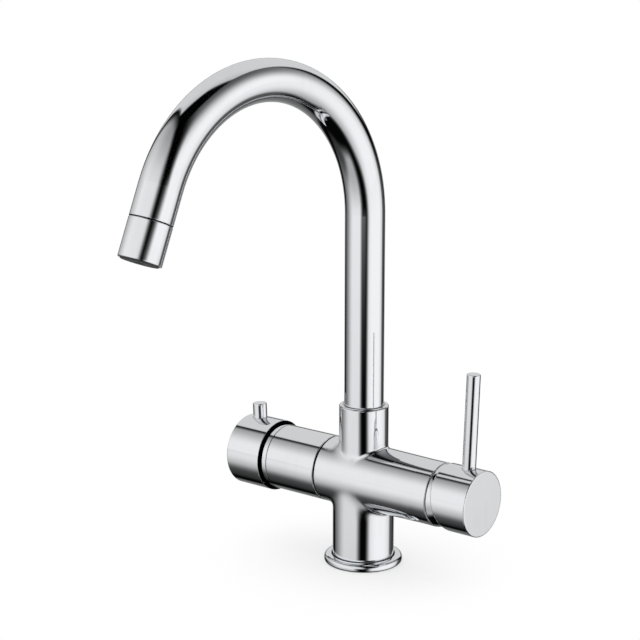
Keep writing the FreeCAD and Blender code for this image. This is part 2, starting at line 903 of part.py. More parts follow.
def dome_ring():
    """Ball shaped cover between the arm and the handle, centred on the tilting point."""
    seat_x = mixer_arm_length + joint_line
    spigot_x = mixer_arm_length - dome_seat_depth + fit_gap
    spigot_radius = dome_seat_radius - fit_gap
    inner_radius = dome_radius - dome_wall
    spigot_bore = spigot_radius - dome_spigot_wall

    def on_sphere(radius, angle):
        across = radius * math.sin(angle)
        return Vector(pivot_x + radius * math.cos(angle), across, arm_height)

    base_offset = seat_x - pivot_x
    start_angle = math.acos(base_offset / dome_radius)
    end_angle = math.radians(dome_hole_angle)
    middle_angle = (start_angle + end_angle) / 2
    inner_start = math.asin(spigot_bore / inner_radius)
    inner_middle = (inner_start + end_angle) / 2
    base_outer = on_sphere(dome_radius, start_angle)
    tip_outer = on_sphere(dome_radius, end_angle)
    tip_inner = on_sphere(inner_radius, end_angle)
    base_inner = on_sphere(inner_radius, inner_start)
    corners = [
        base_inner,
        Vector(spigot_x, spigot_bore, arm_height),
        Vector(spigot_x, spigot_radius, arm_height),
        Vector(seat_x, spigot_radius, arm_height),
        base_outer,
    ]
    edges = []
    for first, second in zip(corners, corners[1:]):
        edges.append(Part.LineSegment(first, second).toShape())
    edges.append(Part.Arc(base_outer, on_sphere(dome_radius, middle_angle), tip_outer).toShape())
    edges.append(Part.LineSegment(tip_outer, tip_inner).toShape())
    edges.append(Part.Arc(tip_inner, on_sphere(inner_radius, inner_middle), base_inner).toShape())
    dome = Part.Face(Part.Wire(edges)).revolve(arm_axis, right, full_turn)
    seat_centre = arm_axis + right * seat_x
    return chamfered(dome, dome_edge, seat_centre, base_outer.y)


def cartridge_carrier():
    """Turning piece: slotted for the stem, with two rails that guide the coupler."""
    root_x = pivot_x - carrier_root
    flange_x = root_x - carrier_flange_length
    flange_radius = chamber_radius - carrier_flange_step
    carrier = turned(
        [
            (flange_x, 0),
            (flange_x, flange_radius),
            (root_x, flange_radius),
            (root_x, carrier_radius),
            (pivot_x + carrier_reach, carrier_radius),
            (pivot_x + carrier_reach, 0),
        ],
        arm_axis,
        right,
    )
    rail_gap = coupler_half_width + slot_side_gap
    channel = block(
        Vector(flange_x - overrun, -rail_gap, arm_height - cartridge_radius),
        Vector(root_x, rail_gap, arm_height + cartridge_radius),
    )
    half_width = stem_size / 2 + slot_side_gap
    slot = block(
        Vector(flange_x - overrun, -half_width, arm_height - slot_half_height),
        Vector(pivot_x + carrier_reach + overrun, half_width, arm_height + slot_half_height),
    )
    pin_hole = rod(
        pivot, back, -cartridge_radius, cartridge_radius, pivot_pin_radius + fit_gap
    )
    return carrier.cut(channel).cut(slot).cut(pin_hole)


def pivot_pin():
    return rod(pivot, back, -pivot_pin_half_length, pivot_pin_half_length, pivot_pin_radius)


def disc_coupler():
    """Slides between the carrier's rails and takes the stem's ball."""
    inner_x = pivot_x - coupler_inner_root
    outer_x = pivot_x - coupler_outer_root
    slider = block(
        Vector(inner_x, -coupler_half_width, arm_height - coupler_top),
        Vector(outer_x, coupler_half_width, arm_height + coupler_top),
    )
    socket = rod(
        arm_axis, right, pivot_x - coupler_socket_floor, outer_x + overrun, coupler_socket_radius
    )
    return slider.cut(socket)


def cartridge_moving_disc():
    outer_x = pivot_x - coupler_inner_root
    inner_x = outer_x - moving_disc_thickness
    disc = rod(arm_axis, right, inner_x, outer_x, moving_disc_radius)
    pocket = rod(
        arm_axis,
        right,
        inner_x - overrun,
        inner_x + moving_disc_pocket_depth,
        moving_disc_radius - moving_disc_pocket_wall,
    )
    return disc.cut(pocket)


def cartridge_stem():
    """Square bar that tilts on the pin, with a ball at its inner end."""
    half = stem_size / 2
    end_x = cap_end_x - cap_end_wall - stem_end_gap
    bar = block(
        Vector(pivot_x - stem_inner_reach, -half, arm_height - half),
        Vector(end_x, half, arm_height + half),
    )
    ball_x = pivot_x - tilt_lever
    ball = Part.makeSphere(stem_ball_radius, Vector(ball_x, 0, arm_height))
    neck = rod(arm_axis, right, ball_x, pivot_x - stem_inner_reach + overrun, stem_neck_radius)
    stem = bar.fuse([neck, ball])
    pin_hole = rod(pivot, back, -stem_size, stem_size, pivot_pin_radius + running_gap)
    return stem.cut(pin_hole)


def leaning(lean, side):
    """The direction of a pin that leans outwards from upright."""
    angle = math.radians(lean)
    return Vector(side * math.sin(angle), 0, math.cos(angle))


lever_foot = Vector(cap_rim_x + cap_length * lever_centre_share, 0, arm_height + cap_radius)
lever_direction = leaning(lever_lean, 1)
stub_foot = Vector(-knob_start - knob_length * stub_centre_share, 0, arm_height + knob_radius)
stub_direction = leaning(stub_lean, -1)


def pin_cutters(foot, direction, radius):
    """The counterbore and the stud's hole that a pin's foot goes into."""
    seat = rod(foot, direction, -lever_seat_depth, lever_seat_depth, radius + fit_gap)
    stud = rod(
        foot,
        direction,
        -lever_seat_depth - lever_stud_length - fit_gap,
        0,
        lever_stud_radius + fit_gap,
    )
    return [seat, stud]


def pin_with_stud(foot, direction, radius, length, edge):
    """A round pin with a rounded end and a threaded stud below it."""
    pin = rod(foot, direction, -lever_seat_depth, length, radius)
    pin = rounded(pin, edge, foot + direction * length, radius)
    stud = rod(
        foot,
        direction,
        -lever_seat_depth - lever_stud_length,
        -lever_seat_depth + overrun,
        lever_stud_radius,
    )
    return pin.fuse(stud)


def lever_boss(foot_x, wall_x, outer, inner, pin_radius):
    """The thick place inside a cap that a pin screws into."""
    low_x = min(foot_x - boss_half_length, wall_x)
    high_x = max(foot_x + boss_half_length, wall_x)
    half_width = pin_radius + boss_wall
    boss = block(
        Vector(low_x, -half_width, arm_height + outer - boss_depth),
        Vector(high_x, half_width, arm_height + outer),
    )
    return boss.common(rod(arm_axis, right, low_x, high_x, (inner + outer) / 2))


def clear_of_dome(shape):
    """The shape without what would touch the ball shaped cover as the handle tilts."""
    return shape.cut(Part.makeSphere(dome_radius + free_gap, pivot))


def rim_sweep():
    """Bounds the cap's rim, which is cut back below so that it clears the arm as it tilts."""
    slope = math.atan(cap_rim_slope)
    centre = Vector(
        cap_rim_x + cap_rim_sweep * math.cos(slope),
        0,
        arm_height + cap_rim_sweep * math.sin(slope),
    )
    return rod(centre, back, -cap_radius - overrun, cap_radius + overrun, cap_rim_sweep)


def handle_cap():
    """Hollow cap of the mixer handle with a boss for the lever."""
    cap = turned(
        [
            (pivot_x, cap_bore),
            (pivot_x, cap_radius),
            (cap_end_x, cap_radius),
            (cap_end_x, 0),
            (cap_end_x - cap_end_wall, 0),
            (cap_end_x - cap_end_wall, cap_bore),
        ],
        arm_axis,
        right,
    )
    wall_x = cap_end_x - cap_end_wall + overrun
    boss = lever_boss(lever_foot.x, wall_x, cap_radius, cap_bore, lever_radius)
    cap = clear_of_dome(cap.fuse(boss)).common(rim_sweep())
    for cutter in pin_cutters(lever_foot, lever_direction, lever_radius):
        cap = cap.cut(cutter)
    screw_x = cap_end_x - cap_end_wall - insert_length / 2
    hole_top = Vector(screw_x, 0, arm_height)
    cap = cap.cut(rod(hole_top, up * -1, insert_radius, cap_radius + overrun, screw_hole_radius))
    cap = rounded(cap, cap_edge, arm_axis + right * cap_end_x, cap_radius)
    return cap


def handle_insert():
    """Fixed in the cap, with a square socket for the stem and a cross screw."""
    end_x = cap_end_x - cap_end_wall
    insert = rod(arm_axis, right, end_x - insert_length, end_x, insert_radius)
    half = stem_size / 2 + socket_gap
    socket = block(
        Vector(end_x - insert_length - overrun, -half, arm_height - half),
        Vector(end_x - stem_end_gap + socket_gap, half, arm_height + half),
    )
    screw_place = Vector(end_x - insert_length / 2, 0, arm_height)
    screw_hole = rod(screw_place, up * -1, 0, insert_radius + overrun, handle_screw_radius + fit_gap)
    return clear_of_dome(insert).cut(socket).cut(screw_hole)


def grub_screw(place, start, end, radius):
    """A headless screw pointing down, with a hexagon socket in its outer end."""
    screw = rod(place, up * -1, start, end, radius)
    socket = hex_bar(place, up * -1, end - radius, end + overrun, radius / 2)
    return screw.cut(socket)


def handle_screw():
    place = Vector(cap_end_x - cap_end_wall - insert_length / 2, 0, arm_height)
    start = stem_size / 2 + fit_gap
    return grub_screw(place, start, insert_radius, handle_screw_radius)


def handle_plug():
    """Closes the screw's hole under the cap."""
    place = Vector(cap_end_x - cap_end_wall - insert_length / 2, 0, arm_height)
    inner = cap_radius - plug_thickness
    plug = rod(place, up * -1, inner, cap_radius, screw_hole_radius - fit_gap)
    return plug.common(rod(arm_axis, right, cap_rim_x, cap_end_x, cap_radius))


def pin_lever():
    return pin_with_stud(lever_foot, lever_direction, lever_radius, lever_length, lever_end_edge)


def filter_headwork():
    """Brass valve body with its hexagon, windows and long threaded neck."""
    barrel_start = filter_boss_length + headwork_hex_length
    barrel_end = barrel_start + headwork_barrel_length
    valve = rod(arm_axis, left, headwork_start, filter_boss_length, headwork_thread_radius)
    hex_radius = headwork_thread_radius + headwork_hex_step
    barrel_radius = headwork_thread_radius + headwork_barrel_step
    hexagon = hex_bar(arm_axis, left, filter_boss_length, barrel_start, hex_radius)
    barrel = rod(arm_axis, left, barrel_start, barrel_end, barrel_radius)
    neck = rod(arm_axis, left, barrel_end, neck_end, headwork_neck_radius)
    valve = valve.fuse([hexagon, barrel, neck])
    chamber_end = headwork_start + valve_chamber_length
    valve = valve.cut(rod(arm_axis, left, headwork_start - overrun, chamber_end, headwork_chamber))
    valve = valve.cut(
        rod(arm_axis, left, headwork_start, neck_end + overrun, spindle_radius + running_gap)
    )
    window_centre = arm_axis + left * ring_channel_middle
    window = rod(
        window_centre, up, headwork_chamber / 2, headwork_thread_radius + overrun, window_radius
    )
    return valve.cut(around(window, arm_axis, left, window_count))


def headwork_seal():
    outer = headwork_chamber - fit_gap
    start = headwork_start + fit_gap
    return pipe(
        arm_axis, left, start, start + headwork_seal_height, outer, outer - headwork_seal_width
    )


def valve_disc(start, end, radius):
    """A ceramic disc with two water holes."""
    disc = rod(arm_axis, left, start, end, radius)
    hole_centre = arm_axis + up * (radius * valve_disc_offset_share)
    hole_radius = radius * valve_disc_port_share
    hole = rod(hole_centre, left, start - overrun, end + overrun, hole_radius)
    return disc.cut(around(hole, arm_axis, left, 2))


valve_disc_start = headwork_start + headwork_seal_height + 2 * fit_gap
valve_face = valve_disc_start + valve_disc_thickness


def filter_fixed_disc():
    radius = headwork_chamber - fit_gap
    return valve_disc(valve_disc_start, valve_face, radius)


def filter_moving_disc():
    radius = headwork_chamber - free_gap
    disc = valve_disc(valve_face + disc_gap, valve_face + valve_disc_thickness, radius)
    disc.rotate(arm_axis, left, full_turn / 4)
    return disc


def filter_spindle():
    """Runs from the moving disc through the neck into the knob."""
    start = valve_face + valve_disc_thickness
    foot_radius = headwork_chamber - spindle_foot_gap
    foot = rod(arm_axis, left, start, start + spindle_foot_length, foot_radius)
    end = neck_end + clip_thickness + 2 * fit_gap + spindle_knob_length
    shaft = rod(arm_axis, left, start, end, spindle_radius)
    groove_start = neck_end + fit_gap
    groove = pipe(
        arm_axis,
        left,
        groove_start,
        groove_start + clip_thickness + fit_gap,
        spindle_radius + overrun,
        spindle_radius - clip_thickness + fit_gap,
    )
    return foot.fuse(shaft).cut(groove)


def spindle_clip():
    """Open ring that keeps the spindle in the neck."""
    start = neck_end + 2 * fit_gap
    inner = spindle_radius - clip_thickness + 2 * fit_gap
    ring = pipe(arm_axis, left, start, start + clip_thickness - fit_gap, inner + clip_width, inner)
    mouth = block(
        Vector(-start - clip_thickness - overrun, -inner, arm_height),
        Vector(-start + overrun, inner, arm_height + spindle_radius + clip_width),
    )
    return ring.cut(mouth)


def filter_sleeve():
    """Chrome cover over the headwork, with a fine groove and a rounded edge by the knob."""
    start = filter_boss_length + joint_line
    inner = filter_boss_radius - sleeve_wall
    floor = headwork_end - sleeve_end_wall
    groove = headwork_end - sleeve_band_length
    groove_radius = filter_boss_radius - sleeve_groove_depth
    sleeve = turned(
        [
            (start, inner),
            (start, filter_boss_radius),
            (groove - sleeve_groove_width, filter_boss_radius),
            (groove - sleeve_groove_width, groove_radius),
            (groove, groove_radius),
            (groove, filter_boss_radius),
            (headwork_end, filter_boss_radius),
            (headwork_end, headwork_neck_radius + fit_gap),
            (floor, headwork_neck_radius + fit_gap),
            (floor, inner),
        ],
        arm_axis,
        left,
    )
    sleeve = rounded(sleeve, sleeve_end_edge, arm_axis + left * headwork_end, filter_boss_radius)
    return chamfered(sleeve, body_edge, arm_axis + left * start, filter_boss_radius)


def sleeve_nut():
    start = headwork_end + fit_gap
    nut_radius = headwork_neck_radius + sleeve_nut_step
    nut = hex_bar(arm_axis, left, start, start + sleeve_nut_length, nut_radius)
    bore = rod(
        arm_axis,
        left,
        start - overrun,
        start + sleeve_nut_length + overrun,
        headwork_neck_radius + fit_gap,
    )
    return nut.cut(bore)


def filter_knob():
    """Hollow turning knob with a thin mouth and a boss for its stub pin."""
    knob = turned(
        [
            (knob_start + knob_mouth_depth, knob_bore),
            (knob_start, knob_radius - knob_mouth_wall),
            (knob_start, knob_radius - knob_rim_chamfer),
            (knob_start + knob_rim_chamfer, knob_radius),
            (knob_end, knob_radius),
            (knob_end, 0),
            (knob_end - knob_end_wall, 0),
            (knob_end - knob_end_wall, knob_bore),
        ],
        arm_axis,
        left,
    )
    wall_x = -knob_end + knob_end_wall - overrun
    boss = lever_boss(stub_foot.x, wall_x, knob_radius, knob_bore, stub_radius)
    knob = knob.fuse(boss)
    for cutter in pin_cutters(stub_foot, stub_direction, stub_radius):
        knob = knob.cut(cutter)
    screw_x = -knob_end + knob_end_wall + knob_insert_length / 2
    hole_top = Vector(screw_x, 0, arm_height)
    knob = knob.cut(
        rod(hole_top, up * -1, knob_insert_radius, knob_radius + overrun, screw_hole_radius)
    )
    return rounded(knob, knob_edge, arm_axis + left * knob_end, knob_radius)


def knob_insert():
    """Fixed in the knob, with a bore for the spindle and a cross screw."""
    end = knob_end - knob_end_wall
    start = end - knob_insert_length
    insert = rod(arm_axis, left, start, end, knob_insert_radius)
    bore = rod(
        arm_axis,
        left,
        start - overrun,
        neck_end + clip_thickness + spindle_knob_length + stem_end_gap,
        spindle_radius + fit_gap,
    )
    place = Vector(-end + knob_insert_length / 2, 0, arm_height)
    screw_hole = rod(place, up * -1, 0, knob_insert_radius + overrun, handle_screw_radius + fit_gap)
    return insert.cut(bore).cut(screw_hole)


def knob_screw():
    place = Vector(-knob_end + knob_end_wall + knob_insert_length / 2, 0, arm_height)
    start = spindle_radius + fit_gap
    return grub_screw(place, start, knob_insert_radius, handle_screw_radius)


def stub_pin():
    return pin_with_stud(stub_foot, stub_direction, stub_radius, stub_length, stub_end_edge)


sub_parts = {
    "base_ring": base_ring,
    "base_gasket": base_gasket,
    "cast_body": cast_body,
    "spout_slide_ring": spout_slide_ring,
    "spout_thrust_ring": spout_thrust_ring,
    "spout_keeper_screw": spout_keeper_screw,
    "filter_tube_seal": filter_tube_seal,
    "spout_tube": spout_tube,
    "spout_foot": spout_foot,
    "spout_seals": spout_seals,
    "filter_tube": filter_tube,
    "nozzle_adaptor": nozzle_adaptor,
    "nozzle_shell": nozzle_shell,
    "nozzle_washer": nozzle_washer,
    "aerator": aerator,
    "filter_jet": filter_jet,
    "cartridge_base": cartridge_base,
    "cartridge_port_seals": cartridge_port_seals,
    "cartridge_fixed_disc": cartridge_fixed_disc,
    "cartridge_housing": cartridge_housing,
    "cartridge_nut": cartridge_nut,
    "dome_ring": dome_ring,
    "cartridge_carrier": cartridge_carrier,
    "pivot_pin": pivot_pin,
    "disc_coupler": disc_coupler,
    "cartridge_moving_disc": cartridge_moving_disc,
    "cartridge_stem": cartridge_stem,
    "handle_cap": handle_cap,
    "handle_insert": handle_insert,
    "handle_screw": handle_screw,
    "handle_plug": handle_plug,
    "pin_lever": pin_lever,
    "filter_headwork": filter_headwork,
    "headwork_seal": headwork_seal,
    "filter_fixed_disc": filter_fixed_disc,
    "filter_moving_disc": filter_moving_disc,
    "filter_spindle": filter_spindle,
    "spindle_clip": spindle_clip,
    "filter_sleeve": filter_sleeve,
    "sleeve_nut": sleeve_nut,
    "filter_knob": filter_knob,
    "knob_insert": knob_insert,
    "knob_screw": knob_screw,
    "stub_pin": stub_pin,
}

os.makedirs("parts", exist_ok=True)
for name, make in sub_parts.items():
    shape = make()
    if not shape.isValid():
        print(name, "is not valid")
    print(name, len(shape.Solids), "solid", round(shape.Volume, 1), "cubic mm")
    shape.exportStep("parts/" + name + ".step")
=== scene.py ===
import json
import math

import bmesh
import bpy
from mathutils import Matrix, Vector


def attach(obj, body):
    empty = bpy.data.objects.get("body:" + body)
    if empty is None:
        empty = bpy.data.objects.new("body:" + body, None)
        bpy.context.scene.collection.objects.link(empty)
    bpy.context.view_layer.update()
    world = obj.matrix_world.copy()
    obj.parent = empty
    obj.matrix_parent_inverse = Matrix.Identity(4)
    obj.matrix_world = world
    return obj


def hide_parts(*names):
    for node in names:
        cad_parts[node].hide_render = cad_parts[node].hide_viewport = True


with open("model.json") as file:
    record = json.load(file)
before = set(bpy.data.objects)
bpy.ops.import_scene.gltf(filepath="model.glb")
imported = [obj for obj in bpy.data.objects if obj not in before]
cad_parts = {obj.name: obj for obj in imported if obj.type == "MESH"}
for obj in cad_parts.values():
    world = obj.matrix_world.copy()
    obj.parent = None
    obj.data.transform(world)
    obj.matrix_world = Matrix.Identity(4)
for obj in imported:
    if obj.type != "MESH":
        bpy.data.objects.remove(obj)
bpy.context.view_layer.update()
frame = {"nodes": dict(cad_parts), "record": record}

scene = bpy.context.scene
scene.view_settings.view_transform = "Standard"

# Camera, at the photograph's viewing angle
shot = {
    "azimuth": 37.67,
    "elevation": 12.26,
    "distance": 1.16989,
    "target": (0, 0, 0.18),
    "panRight": 1.56,
    "panUp": 0.14,
    "lens": 94.04,
    "sensor": 36,
    "clipStart": 0.01,
    "clipEnd": 60,
}


# Unit vector towards an azimuth, 0 towards -Y and 90 towards +X
def heading(azimuth, elevation):
    turn = math.radians(azimuth)
    climb = math.radians(elevation)
    return Vector((math.sin(turn) * math.cos(climb), -math.cos(turn) * math.cos(climb), math.sin(climb)))


cameraData = bpy.data.cameras.new("camera")
cameraData.lens = shot["lens"]
cameraData.sensor_width = shot["sensor"]
cameraData.clip_start = shot["clipStart"]
cameraData.clip_end = shot["clipEnd"]
camera = bpy.data.objects.new("camera", cameraData)
scene.collection.objects.link(camera)
camera.location = Vector(shot["target"]) + heading(shot["azimuth"], shot["elevation"]) * shot["distance"]
lookBack = heading(shot["azimuth"] + shot["panRight"], shot["elevation"] + shot["panUp"])
camera.rotation_mode = "QUATERNION"
camera.rotation_quaternion = (-lookBack).to_track_quat("-Z", "Y")
scene.camera = camera
print("camera done")


# Node helpers
def newNode(tree, kind, **settings):
    node = tree.nodes.new(kind)
    for key, value in settings.items():
        setattr(node, key, value)
    return node


# Links a socket, or sets its value when a plain number or tuple is given
def feed(tree, node, socket, value):
    if isinstance(value, bpy.types.NodeSocket):
        tree.links.new(value, node.inputs[socket])
    else:
        node.inputs[socket].default_value = value


def maths(tree, operation, first, second=0.0):
    node = newNode(tree, "ShaderNodeMath", operation=operation)
    feed(tree, node, 0, first)
    feed(tree, node, 1, second)
    return node.outputs[0]


def vectors(tree, operation, first, second=(0, 0, 0), output="Vector"):
    node = newNode(tree, "ShaderNodeVectorMath", operation=operation)
    feed(tree, node, 0, first)
    feed(tree, node, 1, second)
    return node.outputs[output]


def separated(tree, vector):
    node = newNode(tree, "ShaderNodeSeparateXYZ")
    feed(tree, node, 0, vector)
    return node.outputs


def ramped(tree, value, low, high, toLow=0.0, toHigh=1.0):
    node = newNode(tree, "ShaderNodeMapRange", interpolation_type="SMOOTHSTEP")
    feed(tree, node, "Value", value)
    feed(tree, node, "From Min", low)
    feed(tree, node, "From Max", high)
    feed(tree, node, "To Min", toLow)
    feed(tree, node, "To Max", toHigh)
    return node.outputs["Result"]


# Mixes numbers, or colours with kind RGBA
def mixed(tree, factor, first, second, kind="FLOAT"):
    firstSocket, secondSocket, output = {"FLOAT": (2, 3, 0), "RGBA": (6, 7, 2)}[kind]
    node = newNode(tree, "ShaderNodeMix", data_type=kind)
    feed(tree, node, 0, factor)
    feed(tree, node, firstSocket, first)
    feed(tree, node, secondSocket, second)
    return node.outputs[output]


def mixedShaders(tree, factor, first, second):
    node = newNode(tree, "ShaderNodeMixShader")
    feed(tree, node, 0, factor)
    feed(tree, node, 1, first)
    feed(tree, node, 2, second)
    return node.outputs[0]


def objectPlace(tree):
    return newNode(tree, "ShaderNodeTexCoord").outputs["Object"]


# Studio that the polished metal reflects: soft panels bounded by great circles.
# Each edge is (azimuth from the camera, elevation of the lit side, degrees past it, softness).
# Each fade is (azimuth, elevation, full within, faded beyond, level left), or the other way round
# where the second angle is the smaller one.
studio = {
    "dark": (0.055, 0.02),  # near the floor and overhead
    "darkBand": (-0.5, 0.5),
    "panels": {
        "backdrop": {
            "level": 0.825,
            "edges": [(-121, 24, 1, 3), (115, 23, 1, 2), (0, 90, -6, 4), (180, 0, 0, 4)],
            "fades": [(180, 30, 40, 75, 0.84)],
        },
        "lowerBack": {
            "level": 0.62,
            "edges": [(0, -90, 3, 6), (0, 90, 62, 10), (-120, 0, 0, 5), (117, 0, 0, 4)],
            "fades": [(180, 0, 10, 60, 0.6)],
        },
        "rightBack": {
            "level": 0.33,
            "edges": [(0, -90, 0, 6), (0, 90, 52, 10), (130, 0, 0, 8), (48, 0, 0, 4)],
            "fades": [],
        },
        "rightLow": {
            "level": 0.97,
            "edges": [(104, 0, 0, 12), (0, -90, 14, 11), (0, 90, 70, 11), (29, 0, 0, 9)],
            "fades": [
                (64, 0, 22, 75, 0.78),
                (64, 30, 60, 115, 0.75),
                (-5, -70, 27, 9, 0.35),
                (14, 20, 36, 8, 0.6),
            ],
        },
        "rightHigh": {
            "level": 0.97,
            "edges": [(133, 12, 0, 12), (0, -90, 62, 3), (0, 90, 8, 11), (34, 0, 0, 7)],
            "fades": [(64, 0, 28, 60, 0.68), (0, -90, 98, 150, 0.5), (14, 20, 36, 8, 0.6)],
        },
        "leftLow": {
            "level": 0.93,
            "edges": [(-108, 0, 0, 13), (0, -90, 14, 11), (0, 90, 66, 12), (-43, 0, 0, 9)],
            "fades": [(-40, -20, 30, 90, 0.45), (0, 90, 95, 135, 0.72), (-108, -52, 30, 6, 0.52)],
        },
        "leftHigh": {
            "level": 0.93,
            "edges": [(-82, -8, 0, 14), (0, 90, 8, 11), (-61, -24, -2.2, 5)],
            "fades": [(-55, 5, 30, 90, 0.75), (0, -90, 110, 160, 0.64)],
        },
    },
    "blend": 0.05,
    "asLight": 2.2,
    "softLow": 0.75,
    "softHigh": 1.15,
    "white": (1, 1, 1, 1),
}


def sinus(degrees):
    return math.sin(math.radians(degrees))


# Cosine of the angle between the ray and a place in the studio
def towards(tree, ray, azimuth, elevation):
    return vectors(tree, "DOT_PRODUCT", ray, heading(shot["azimuth"] + azimuth, elevation), "Value")


def panelLight(tree, ray, panel):
    light = panel["level"]
    for azimuth, elevation, shift, soft in panel["edges"]:
        facing = towards(tree, ray, azimuth, elevation)
        lit = ramped(tree, facing, sinus(-shift - soft), sinus(-shift + soft))
        light = maths(tree, "MULTIPLY", lit, light)
    for azimuth, elevation, start, stop, left in panel["fades"]:
        angle = maths(tree, "ARCCOSINE", towards(tree, ray, azimuth, elevation))
        lit = ramped(tree, angle, math.radians(start), math.radians(stop), 1.0, left)
        light = maths(tree, "MULTIPLY", lit, light)
    return light


world = bpy.data.worlds.new("studio")
scene.world = world
world.use_nodes = True
sky = world.node_tree
sky.nodes.clear()
direction = newNode(sky, "ShaderNodeTexCoord").outputs["Generated"]
height = separated(sky, direction)["Z"]
seen = ramped(sky, height, *studio["darkBand"], *studio["dark"])
for panel in studio["panels"].values():
    brighter = newNode(sky, "ShaderNodeMath", operation="SMOOTH_MAX")
    for socket, value in enumerate((seen, panelLight(sky, direction, panel), studio["blend"])):
        feed(sky, brighter, socket, value)
    seen = brighter.outputs[0]
# the levels are as they look in the picture, so they are turned into light here
reflected = maths(sky, "POWER", seen, studio["asLight"])
rays = newNode(sky, "ShaderNodeLightPath")
softLight = ramped(sky, height, -1.0, 1.0, studio["softLow"], studio["softHigh"])
strength = mixed(sky, rays.outputs["Is Glossy Ray"], softLight, reflected)
strength = mixed(sky, rays.outputs["Is Camera Ray"], strength, 1.0)
background = newNode(sky, "ShaderNodeBackground")
feed(sky, background, "Color", studio["white"])
feed(sky, background, "Strength", strength)
feed(sky, newNode(sky, "ShaderNodeOutputWorld"), "Surface", background.outputs[0])
print("studio done")


# Effects that several finishes share
def newGroup(name, inputs, outputs):
    group = bpy.data.node_groups.new(name, "ShaderNodeTree")
    for label, value in inputs.items():
        socket = group.interface.new_socket(label, in_out="INPUT", socket_type="NodeSocketFloat")
        socket.default_value = value
    for label in outputs:
        group.interface.new_socket(label, in_out="OUTPUT", socket_type="NodeSocketFloat")
    return group, newNode(group, "NodeGroupInput").outputs, newNode(group, "NodeGroupOutput")


def placed(tree, group, **values):
    node = newNode(tree, "ShaderNodeGroup", node_tree=group)
    for label, value in values.items():
        node.inputs[label].default_value = value
    return node.outputs


def noise(tree, scale, detail, vector, roughness=0.5):
    node = newNode(tree, "ShaderNodeTexNoise")
    feed(tree, node, "Vector", vector)
    feed(tree, node, "Scale", scale)
    feed(tree, node, "Detail", detail)
    feed(tree, node, "Roughness", roughness)
    return node.outputs["Fac"]


# Wiping smears: large soft clouds and fine drawn streaks, 0 clean to 1 marked
smearLook = {
    "cloudScale": 32.0,
    "cloudDetail": 3.0,
    "cloudRoughness": 0.6,
    "cloudRange": (0.42, 0.7),
    "streakScale": 240.0,
    "streakDetail": 2.0,
    "streakRoughness": 0.7,
    "streakRange": (0.3, 0.75),
    "streakSqueeze": (1.0, 1.0, 0.12),
    "rippleScale": 45.0,
    "rippleDetail": 1.0,
}


def smearGroup():
    look = smearLook
    inputs = {"cloudScale": look["cloudScale"], "streakScale": look["streakScale"]}
    group, given, out = newGroup("smears", inputs, ("marks", "ripple"))
    place = objectPlace(group)
    cloud = noise(group, given["cloudScale"], look["cloudDetail"], place, look["cloudRoughness"])
    squeezed = newNode(group, "ShaderNodeMapping")
    feed(group, squeezed, "Vector", place)
    feed(group, squeezed, "Scale", look["streakSqueeze"])
    drawn = squeezed.outputs[0]
    streak = noise(group, given["streakScale"], look["streakDetail"], drawn, look["streakRoughness"])
    clouds = ramped(group, cloud, *look["cloudRange"])
    streaks = ramped(group, streak, *look["streakRange"])
    feed(group, out, "marks", maths(group, "MULTIPLY", clouds, streaks))
    feed(group, out, "ripple", noise(group, look["rippleScale"], look["rippleDetail"], place))
    return group


# Turning marks left by a lathe, ring after ring along X and Z
latheLook = {
    "wanderScale": 240.0,
    "wanderDetail": 2.0,
    "crest": 4.0,  # brings the middle of each ring up to 1
    "tintScale": 60.0,
    "tintDetail": 3.0,
    "tintRange": (0.3, 0.7),
}


def latheGroup():
    look = latheLook
    group, given, out = newGroup("latheRings", {"pitch": 900.0, "spread": 0.5}, ("rings", "tint"))
    place = objectPlace(group)
    parts = separated(group, place)
    along = maths(group, "ADD", parts["X"], parts["Z"])
    wander = noise(group, look["wanderScale"], look["wanderDetail"], place)
    turns = maths(group, "MULTIPLY", along, given["pitch"])
    phase = maths(group, "ADD", turns, maths(group, "MULTIPLY", wander, given["spread"]))
    rings = maths(group, "FRACT", phase)
    risen = maths(group, "MULTIPLY", rings, look["crest"])
    feed(group, out, "rings", maths(group, "MULTIPLY", maths(group, "SUBTRACT", 1.0, rings), risen))
    tint = noise(group, look["tintScale"], look["tintDetail"], place)
    feed(group, out, "tint", ramped(group, tint, *look["tintRange"]))
    return group


# Fine grain of a mould or a fired surface
grainLook = {
    "grainDetail": 4.0,
    "grainRoughness": 0.65,
    "mottleScale": 90.0,
    "mottleDetail": 3.0,
    "mottleRange": (0.35, 0.65),
}


def grainGroup():
    look = grainLook
    group, given, out = newGroup("grain", {"grainScale": 1500.0}, ("grain", "mottle"))
    place = objectPlace(group)
    fine = noise(group, given["grainScale"], look["grainDetail"], place, look["grainRoughness"])
    feed(group, out, "grain", fine)
    mottle = noise(group, look["mottleScale"], look["mottleDetail"], place)
    feed(group, out, "mottle", ramped(group, mottle, *look["mottleRange"]))
    return group


# Painted shade down in the joints, darker the more the surroundings close in, 0 on open surfaces to 1 deep
# in a gap
jointShadeLook = {
    "samples": 12,
    "shutFrom": 0.2,
}


def jointShadeGroup():
    group, given, out = newGroup("jointShade", {"reach": 0.002, "full": 0.55}, ("depth",))
    around = newNode(group, "ShaderNodeAmbientOcclusion", samples=jointShadeLook["samples"])
    feed(group, around, "Distance", given["reach"])
    shut = maths(group, "SUBTRACT", 1.0, around.outputs["AO"])
    feed(group, out, "depth", ramped(group, shut, jointShadeLook["shutFrom"], given["full"]))
    return group


# Painted shade round the left arm: the knob's mouth with its rim, and the joint of the sleeve, are painted
# near black by place where shade falls in the gaps.
# Each is (left end, right end, radius from the arm's axis).
armGapShade = {
    "axisHeight": 0.0636,
    "bands": {
        "mouth": (-0.1062, -0.0764, 0.0259),
        "mouthRim": (-0.077, -0.0764, 0.0264),
        "sleeveJoint": (-0.0282, -0.0264, 0.025),
    },
    "soft": 0.0001,
}


